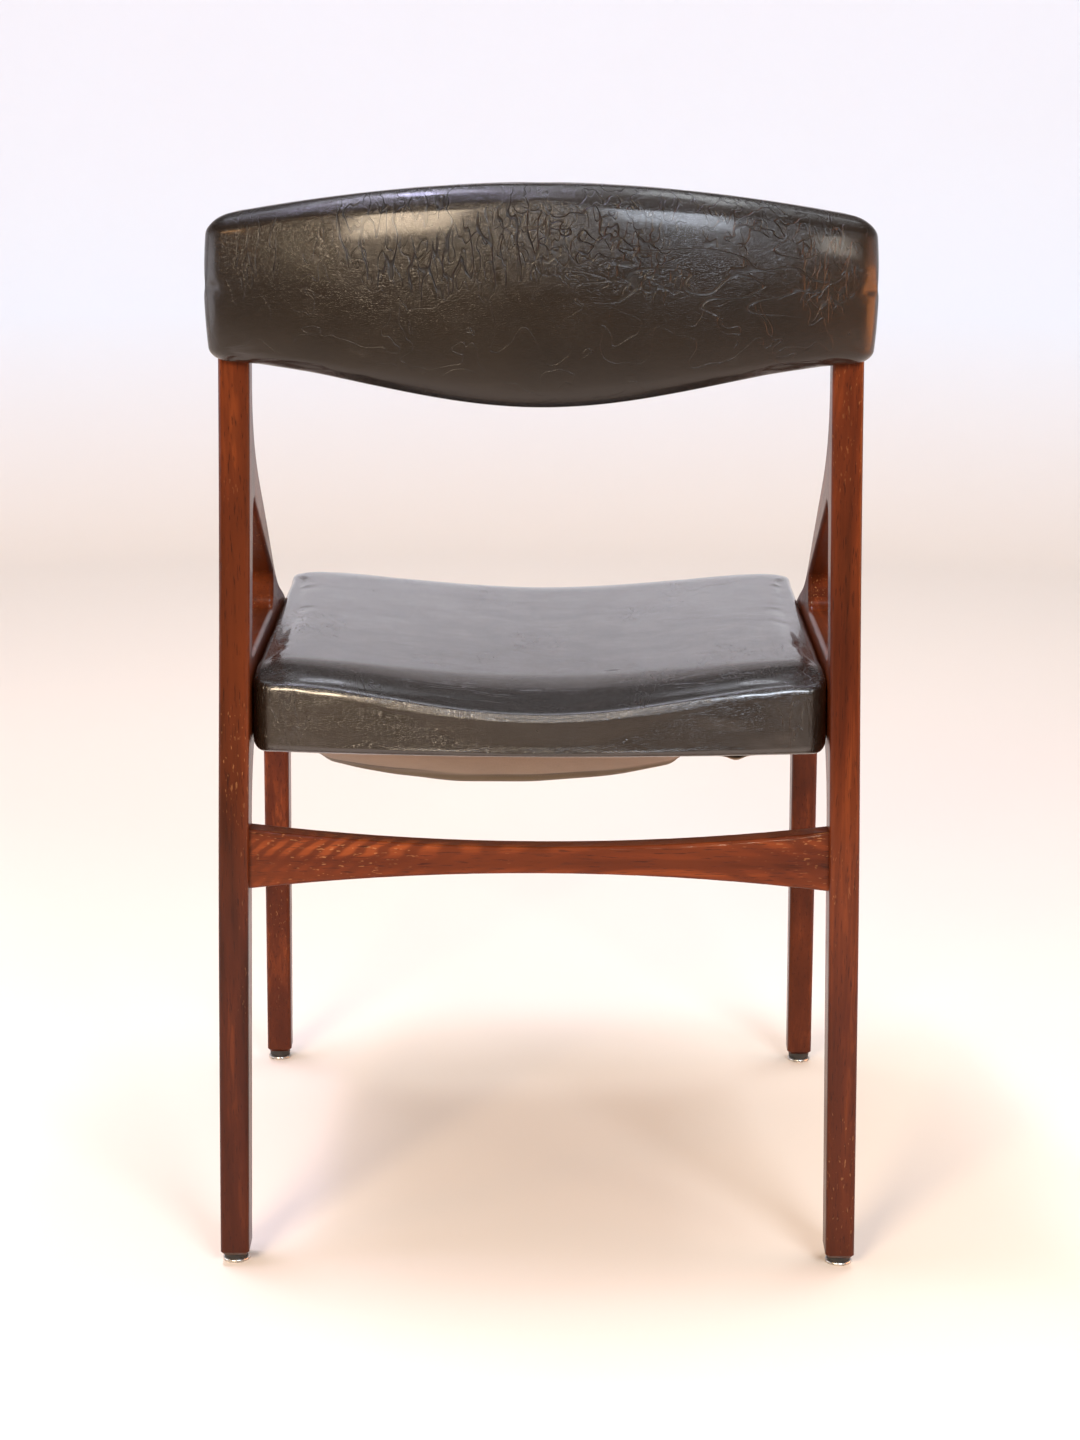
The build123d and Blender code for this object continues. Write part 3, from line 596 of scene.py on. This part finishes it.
def back_shape(cube):
    """Cube points to the padded back, in metres."""
    p = rounded(cube, (BACK_HALF, BACK_HT, BACK_HH), BACK_RADIUS_TOP, BACK_RADIUS_LOW)
    tall = p[:, 2] / BACK_HH
    share = p[:, 0] / BACK_HALF
    high = BACK_TOP - BACK_TOP_DROP * share ** 2 * (1.08 - 0.08 * share ** 2)
    low = BACK_LOW_Z + BACK_LOW_RISE * (1 - wave(share / LOW_HALF))
    thin = 1 - np.where(tall > 0, BACK_THIN_TOP * tall ** 2, BACK_THIN_LOW * np.abs(tall) ** 2.6)
    belly = BACK_BELLY * (1 - tall ** 2) * (1 - share ** 2)
    across = p[:, 1] * thin + np.sign(p[:, 1]) * belly
    turn = np.arcsin(p[:, 0] / BACK_R)
    out = BACK_R - across
    x = out * np.sin(turn) * (1 + BACK_END_BOW * (1 - tall ** 2) * share ** 2)
    y = BACK_MID_Y + BACK_R - out * np.cos(turn)
    z = low + (tall + 1) / 2 * (high - low)
    c, s = cos(BACK_LEAN), sin(BACK_LEAN)
    dy, dz = y - BACK_MID_Y, z - BACK_PIVOT_Z
    y, z = BACK_MID_Y + dy * c - dz * s, BACK_PIVOT_Z + dy * s + dz * c
    return np.stack([x, y + y_shift, z], 1) * MM


BACK_STEPS = (spaced(BACK_HALF, 22, 5.5, 2.2), spaced(BACK_HT, 20, 3.0, 2.0), spaced(BACK_HH, 22, 5.0, 2.2))
cube, quads = box_grid(*BACK_STEPS)
BACK_SKIN = leatherette("leatherette_back", 1.7, back_creases, 0.0, 0.30, 0.26, 0.19)
back = new_piece("back_cushion", back_shape(cube), quads, BACK_SKIN)
puff(back, 3.0, 2.5 * MM)
subdivide(back)
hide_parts("back_cover", "back_front_foam", "back_rear_foam")
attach(back, "root")

# ---------------------------------------------------------------- lining under the seat
LINING = woven("lining_brown", (0.175, 0.113, 0.070), (0.29, 0.200, 0.135), 1400.0, creased=True)
SAG_MID_X, SAG_LEFT, SAG_RIGHT = -32.0, 124.0, 132.0       # lowest place, and how far the fold reaches
FOLD_Y, FOLD_DROP, FOLD_HIDDEN = 48.0, 15.0, 17.5
SAG_REAR_Y, SAG_DEEP_Y, SAG_FRONT_Y = -3.0, 110.0, 262.0
GROOVE_BACK, GROOVE_WIDE, LIP_WIDE = 7.5, 2.2, 4.5         # the creased line behind the fold
RIM_REAR, RIM_FRONT, RIM_BELOW = 11.0, 14.0, 1.2           # how far the rim lies inside the seat's edge
TUCK_X, TUCK_WIDE, TUCK_DEEP = 138.0, 6.0, 3.2             # a small lump of cloth at the rear edge


def slack(x):
    """How far the fold hangs at x: a hidden share and the share that shows below the rear edge."""
    reach = np.where(x < SAG_MID_X, SAG_LEFT, SAG_RIGHT)
    off = np.clip(np.abs(x - SAG_MID_X) / reach, 0, 1)
    shown = FOLD_DROP * (1 - off ** 2) ** np.where(x < SAG_MID_X, 1.0, 0.85)
    outside = np.clip((np.abs(x - SAG_MID_X) - reach + 8) / 34, 0, 1)
    return FOLD_HIDDEN * (1 + np.cos(pi * outside)) / 2 + shown


def lining():
    """The slack cloth as a grid of points, with its fold, and its faces."""
    us = np.linspace(-1, 1, 141)
    vs = [np.linspace(0, 0.13, 12)[:-1], np.linspace(0.13, 0.24, 30)[:-1], np.linspace(0.24, 1, 60)]
    vs = np.concatenate(vs)
    rear, front = seat_rear + RIM_REAR, seat_front - RIM_FRONT
    u, v = np.meshgrid(us, vs)
    x = u * (188 + 9 * v)
    y = rear + v * (front - rear) - (1 - u ** 2) * 13 * (1 - v) ** 3
    own_y = y - y_shift
    hang = slack(x)
    falling = np.clip((own_y - SAG_REAR_Y) / (FOLD_Y - SAG_REAR_Y), 0, 1)
    rising = np.clip((own_y - SAG_DEEP_Y) / (SAG_FRONT_Y - SAG_DEEP_Y), 0, 1)
    depth = hang * falling ** 0.9 * (1 + np.cos(pi * rising)) / 2
    # the groove behind the fold: a dip in the mesh and the mask of its painted shade
    groove_and_shade = np.exp(-((own_y - FOLD_Y + GROOVE_BACK) / GROOVE_WIDE) ** 2)
    lip = np.exp(-((own_y - FOLD_Y) / LIP_WIDE) ** 2)
    depth += hang / (FOLD_HIDDEN + FOLD_DROP) * (2.2 * lip - 2.6 * groove_and_shade)
    drape = 0.2 * np.sin(x / 9.0 + own_y / 21.0) * hang / (FOLD_HIDDEN + FOLD_DROP)
    tuck = TUCK_DEEP * np.exp(-((x - TUCK_X) / TUCK_WIDE) ** 2) * (v < 0.02)
    z = SEAT_LOW.z / MM - RIM_BELOW - depth - drape - tuck
    # mask of painted shade on the cloth in front of the fold, under the seat
    shade_under_fold = np.clip((own_y - FOLD_Y + 7.0) / 2.0, 0, 1)
    points = np.stack([x, y, z], -1).reshape(-1, 3) * MM
    wide = len(us)
    faces = [(a, a + wide, a + wide + 1, a + 1)
             for j in range(len(vs) - 1) for a in range(j * wide, (j + 1) * wide - 1)]
    return points, faces, groove_and_shade.ravel(), shade_under_fold.ravel()


cloth_points, cloth_faces, *cloth_marks = lining()
cloth = new_piece("seat_lining", cloth_points, cloth_faces, LINING)
for mark, values in zip(("groove_and_shade", "shade_under_fold"), cloth_marks):
    cloth.data.attributes.new(mark, "FLOAT", "POINT").data.foreach_set("value", values)
thick = cloth.modifiers.new("thickness", "SOLIDIFY")
thick.thickness = 0.8 * MM
thick.offset = 0
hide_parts("seat_dust_cover")
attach(cloth, "root")


# ---------------------------------------------------------------- studio
def stage_bowl():
    """Pale round floor that curves up into a wall, warm below and near white above; painted shade turns it
    dark grey above about 1.5 m and dark behind the chair.
    """
    n = Nodes("studio_pale")
    height = n.add("ShaderNodeSeparateXYZ", Vector=n.coords()).outputs[2]
    # pale up to about 1.2 m; between about 1.2 and 1.6 m it turns to a painted shade of dark grey
    shade = n.ramp(n.math("DIVIDE", height, 2.6), (0.0, (0.80, 0.70, 0.60)), (0.16, (0.76, 0.82, 0.90)),
                   (0.46, (0.78, 0.83, 0.92)), (0.60, (0.30, 0.29, 0.30)))
    grain = n.noise(n.coords(), 3.0, detail=3)
    shade = n.mix(n.math("MULTIPLY", grain, 0.08), shade, (0.66, 0.60, 0.55))
    # painted shade: the floor and wall behind the chair turn dark
    depth = n.add("ShaderNodeSeparateXYZ", Vector=n.coords()).outputs[1]
    painted_shade_behind = n.ramp(n.math("MULTIPLY", depth, -0.25), (0.22, 0.0), (0.42, 1.0))
    n.set(Base_Color=n.mix(painted_shade_behind, shade, (0.20, 0.150, 0.105)), Roughness=0.7)
    profile = [(0.0, 0.0)] + [(r, 0.0) for r in np.linspace(0.4, 3.0, 9)]
    profile += [(3.0 + 0.8 * sin(a), 0.8 - 0.8 * cos(a)) for a in np.linspace(0.1, pi / 2, 12)]
    profile += [(3.8, z) for z in np.linspace(1.1, 2.6, 5)]
    around = 96
    points = [(0, 0, 0)]
    for r, z in profile[1:]:
        points += [(r * cos(2 * pi * k / around), r * sin(2 * pi * k / around), z) for k in range(around)]
    faces = [(0, 1 + k, 1 + (k + 1) % around) for k in range(around)]
    for ring in range(len(profile) - 2):
        a, b = 1 + ring * around, 1 + (ring + 1) * around
        for k in range(around):
            m = (k + 1) % around
            faces.append((a + k, b + k, b + m, a + m))
    new_piece("studio_floor", points, faces, n.material)


def soft_sky():
    """World light: dim near the horizon, bright overhead."""
    world = bpy.data.worlds.new("studio")
    bpy.context.scene.world = world
    world.use_nodes = True
    tree = world.node_tree
    place = tree.nodes.new("ShaderNodeTexCoord")
    split = tree.nodes.new("ShaderNodeSeparateXYZ")
    fall = tree.nodes.new("ShaderNodeMapRange")
    fall.inputs["From Min"].default_value, fall.inputs["From Max"].default_value = 0.70, 0.92
    fall.inputs["To Min"].default_value, fall.inputs["To Max"].default_value = 0.06, 1.15
    background = tree.nodes["Background"]
    background.inputs["Color"].default_value = (0.95, 0.95, 1.0, 1)
    tree.links.new(place.outputs["Generated"], split.inputs[0])
    tree.links.new(split.outputs[2], fall.inputs["Value"])
    tree.links.new(fall.outputs[0], background.inputs["Strength"])


stage_bowl()
soft_sky()
bpy.context.scene.view_settings.view_transform = "Standard"


def area_light(name, place, target, size, power, colour=(1, 1, 1)):
    """A soft rectangular lamp at place, turned to target."""
    data = bpy.data.lights.new(name, "AREA")
    data.shape = "RECTANGLE"
    data.size, data.size_y = size
    data.energy = power
    data.color = colour
    lamp = bpy.data.objects.new(name, data)
    lamp.location = place
    lamp.rotation_euler = (Vector(target) - Vector(place)).to_track_quat("-Z", "Y").to_euler()
    lamp.visible_camera = False
    bpy.context.scene.collection.objects.link(lamp)


area_light("wall", (0.0, 0.8, 2.9), (0, 3.6, 0.5), (3.4, 0.8), 38, (0.86, 0.93, 1.0))
area_light("ceiling_left", (-0.65, -0.1, 2.9), (-0.3, 0, 0), (1.1, 0.6), 27, (0.82, 0.80, 1.0))
area_light("ceiling_right", (0.75, 0.0, 2.9), (0.3, 0, 0), (1.0, 0.5), 15, (0.92, 0.97, 1.0))
area_light("lamp_top", (-0.50, -0.25, 2.3), (-0.10, -0.25, 0.77), (0.50, 0.14), 11, (0.66, 0.64, 1.0))
area_light("lamp_warm", (-1.09, -2.75, 1.55), (-0.08, -0.26, 0.76), (0.85, 0.80), 92, (1.0, 0.80, 0.58))
area_light("lamp_cool", (0.98, -2.56, 1.66), (0.07, -0.26, 0.76), (0.85, 0.80), 60, (0.80, 0.88, 1.0))
area_light("lamp_left", (-2.1, -1.6, 1.5), (-0.2, -0.23, 0.75), (0.28, 0.20), 3.5, (1.0, 0.50, 0.20))
area_light("lamp_right", (2.0, -1.9, 1.15), (0.19, -0.24, 0.75), (0.30, 0.40), 5.0, (1.0, 0.92, 0.80))
area_light("glow_right", (2.3, -0.25, 0.40), (0.2, -0.2, 0.7), (1.6, 0.7), 22, (1.0, 0.28, 0.03))
area_light("glow_left", (-2.3, -0.25, 0.60), (-0.2, -0.2, 0.7), (1.2, 0.9), 9, (0.94, 0.93, 1.0))

# ---------------------------------------------------------------- camera
camera_data = bpy.data.cameras.new("camera")
camera = bpy.data.objects.new("camera", camera_data)
bpy.context.scene.collection.objects.link(camera)
camera_data.lens = 65.875
camera_data.sensor_width = 36
camera.location = (0.0044, -1.807 + y_shift * MM, 0.831)
CAMERA_HEADING, CAMERA_DOWN, CAMERA_ROLL = radians(0.13), radians(13.02), radians(0.25)
heading = Matrix.Rotation(CAMERA_HEADING, 3, "Z")
pitch = Matrix.Rotation(radians(90) - CAMERA_DOWN, 3, "X")
camera.rotation_euler = (heading @ pitch @ Matrix.Rotation(CAMERA_ROLL, 3, "Z")).to_euler()
bpy.context.scene.camera = camera
